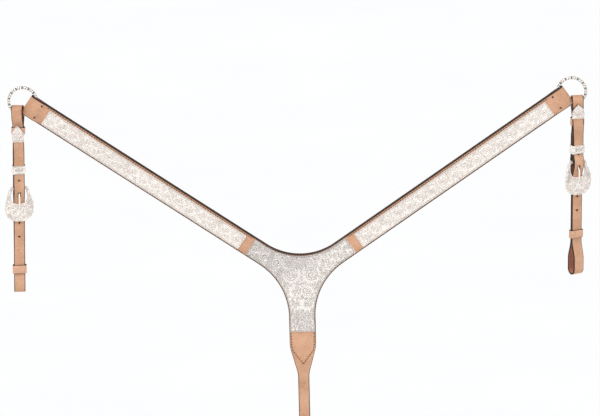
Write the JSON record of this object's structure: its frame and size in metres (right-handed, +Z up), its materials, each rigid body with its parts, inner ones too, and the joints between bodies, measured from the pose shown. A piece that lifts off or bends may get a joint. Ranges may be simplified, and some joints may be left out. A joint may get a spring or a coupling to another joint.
{
  "type": "western breast collar",
  "caption": "Silver-mounted leather show breastplate for a horse: Y-shaped collar with plated yoke and arms, ring-hung buckling tugs and a centre strap ending in a bolt snap.",
  "frame": {"origin": "on the back face of the yoke, where the centre lines of the two arms cross", "axes": "+X to the right as seen from the show side, +Z up as the collar hangs, +Y out of the back, towards the horse's chest"},
  "size_m": [1.0206, 0.0317, 0.8381],
  "materials": {
    "leather": "light oil harness leather, smooth grain side, dark inked edges",
    "lining": "lining leather, matt flesh side outwards",
    "keeper_leather": "light keeper leather with creased edges",
    "silver_plate": "bright silver sheet, hand-engraved scrolls with dark ground",
    "silver_trim": "bright silver buckle set, engraved",
    "silver_ring": "engraved silver ring",
    "screws": "nickel-plated steel",
    "steel": "nickel-plated bolt snap"
  },
  "bodies": {
    "yoke": {"yoke_face": "leather", "yoke_lining": "lining", "yoke_plate": "silver_plate"},
    "left_arm": {"left_arm_face": "leather", "left_arm_lining": "lining", "left_arm_plate": "silver_plate", "left_arm_rivet_upper": "screws", "left_arm_rivet_lower": "screws"},
    "left_ring": {"left_ring": "silver_ring"},
    "left_tug_top": {"left_tug_loop": "leather"},
    "left_tug": {"left_tug_chape": "leather", "left_tug_billet": "leather", "left_tug_tip": "silver_trim", "left_buckle_frame": "silver_trim", "left_chape_screw_upper": "screws", "left_chape_screw_lower": "screws"},
    "left_tongue": {"left_buckle_tongue": "silver_trim"},
    "left_upper_keeper": {"left_tug_upper_keeper": "keeper_leather"},
    "left_silver_keeper": {"left_tug_silver_keeper": "silver_trim"},
    "left_lower_keeper": {"left_tug_lower_keeper": "keeper_leather"},
    "right_arm": {"right_arm_face": "leather", "right_arm_lining": "lining", "right_arm_plate": "silver_plate", "right_arm_rivet_upper": "screws", "right_arm_rivet_lower": "screws"},
    "right_ring": {"right_ring": "silver_ring"},
    "right_tug_top": {"right_tug_loop": "leather"},
    "right_tug": {"right_tug_chape": "leather", "right_tug_billet": "leather", "right_tug_tip": "silver_trim", "right_buckle_frame": "silver_trim", "right_chape_screw_upper": "screws", "right_chape_screw_lower": "screws"},
    "right_tongue": {"right_buckle_tongue": "silver_trim"},
    "right_upper_keeper": {"right_tug_upper_keeper": "keeper_leather"},
    "right_silver_keeper": {"right_tug_silver_keeper": "silver_trim"},
    "right_lower_keeper": {"right_tug_lower_keeper": "keeper_leather"},
    "centre": {"centre_strap": "leather", "centre_screw_upper": "screws", "centre_screw_lower": "screws"},
    "snap_eye": {"snap_eye": "steel"},
    "snap_body": {"snap_body": "steel", "snap_spring": "steel"},
    "snap_bolt": {"snap_bolt": "steel"}
  },
  "joints": [
    {"name": "left_arm_flex", "type": "hinge", "parent": "yoke", "child": "left_arm", "pos_m": [-0.09387, -0.00425, 0.06468], "axis": [-0.5674, 0, -0.8234], "range_deg": [-20, 75], "stiffness_Nm_per_rad": 4},
    {"name": "left_ring_spin", "type": "hinge", "parent": "left_arm", "child": "left_ring", "pos_m": [-0.476, -0.00425, 0.328], "axis": [0, 1, 0], "continuous": true},
    {"name": "left_tug_turn", "type": "hinge", "parent": "left_arm", "child": "left_tug_top", "pos_m": [-0.476, -0.00425, 0.328], "axis": [0, 1, 0], "range_deg": [0, 70]},
    {"name": "left_tug_flex", "type": "hinge", "parent": "left_tug_top", "child": "left_tug", "pos_m": [-0.4852, -0.00425, 0.2867], "axis": [0.9925, -0.1219, 0], "range_deg": [-40, 50]},
    {"name": "left_tongue_pivot", "type": "hinge", "parent": "left_tug", "child": "left_tongue", "pos_m": [-0.48779, -0.00524, 0.1715], "axis": [0.9877, 0.1564, 0], "range_deg": [-8, 0]},
    {"name": "left_upper_keeper_slide", "type": "slide", "parent": "left_tug", "child": "left_upper_keeper", "axis": [0.0244, 0, 0.9997], "range_m": [-0.004, 0.001]},
    {"name": "left_silver_keeper_slide", "type": "slide", "parent": "left_tug", "child": "left_silver_keeper", "axis": [0.0244, 0, 0.9997], "range_m": [-0.006, 0.006]},
    {"name": "left_lower_keeper_slide", "type": "slide", "parent": "left_tug", "child": "left_lower_keeper", "axis": [0.0244, 0, 0.9997], "range_m": [-0.002, 0.02]},
    {"name": "right_arm_flex", "type": "hinge", "parent": "yoke", "child": "right_arm", "pos_m": [0.09387, -0.00425, 0.06468], "axis": [-0.5674, 0, 0.8234], "range_deg": [-20, 75], "stiffness_Nm_per_rad": 4},
    {"name": "right_ring_spin", "type": "hinge", "parent": "right_arm", "child": "right_ring", "pos_m": [0.476, -0.00425, 0.328], "axis": [0, 1, 0], "continuous": true},
    {"name": "right_tug_turn", "type": "hinge", "parent": "right_arm", "child": "right_tug_top", "pos_m": [0.476, -0.00425, 0.328], "axis": [0, 1, 0], "range_deg": [-70, 0]},
    {"name": "right_tug_flex", "type": "hinge", "parent": "right_tug_top", "child": "right_tug", "pos_m": [0.4852, -0.00425, 0.2867], "axis": [0.9903, 0.1392, 0], "range_deg": [0, 50]},
    {"name": "right_tongue_pivot", "type": "hinge", "parent": "right_tug", "child": "right_tongue", "pos_m": [0.48364, -0.00514, 0.2015], "axis": [0.891, 0.454, 0], "range_deg": [-8, 0]},
    {"name": "right_upper_keeper_slide", "type": "slide", "parent": "right_tug", "child": "right_upper_keeper", "axis": [0.0244, 0, 0.9997], "range_m": [-0.003, 0.001]},
    {"name": "right_silver_keeper_slide", "type": "slide", "parent": "right_tug", "child": "right_silver_keeper", "axis": [0.0244, 0, 0.9997], "range_m": [-0.003, 0.006]},
    {"name": "right_lower_keeper_slide", "type": "slide", "parent": "right_tug", "child": "right_lower_keeper", "axis": [0.0244, 0, 0.9997], "range_m": [-0.002, 0.04]},
    {"name": "centre_flex", "type": "hinge", "parent": "yoke", "child": "centre", "pos_m": [0, -0.00635, -0.187], "axis": [1, 0, 0], "range_deg": [-30, 80]},
    {"name": "snap_eye_swing", "type": "hinge", "parent": "centre", "child": "snap_eye", "pos_m": [0, -0.0028, -0.398], "axis": [1, 0, 0], "range_deg": [-60, 60]},
    {"name": "snap_swivel", "type": "hinge", "parent": "snap_eye", "child": "snap_body", "pos_m": [0, -0.0028, -0.4155], "axis": [0, 0, 1], "continuous": true},
    {"name": "snap_bolt_slide", "type": "slide", "parent": "snap_body", "child": "snap_bolt", "axis": [0, 0, 1], "range_m": [0, 0.008], "stiffness_N_per_m": 200, "springref_m": -0.004, "deforming": ["snap_spring"]}
  ]
}
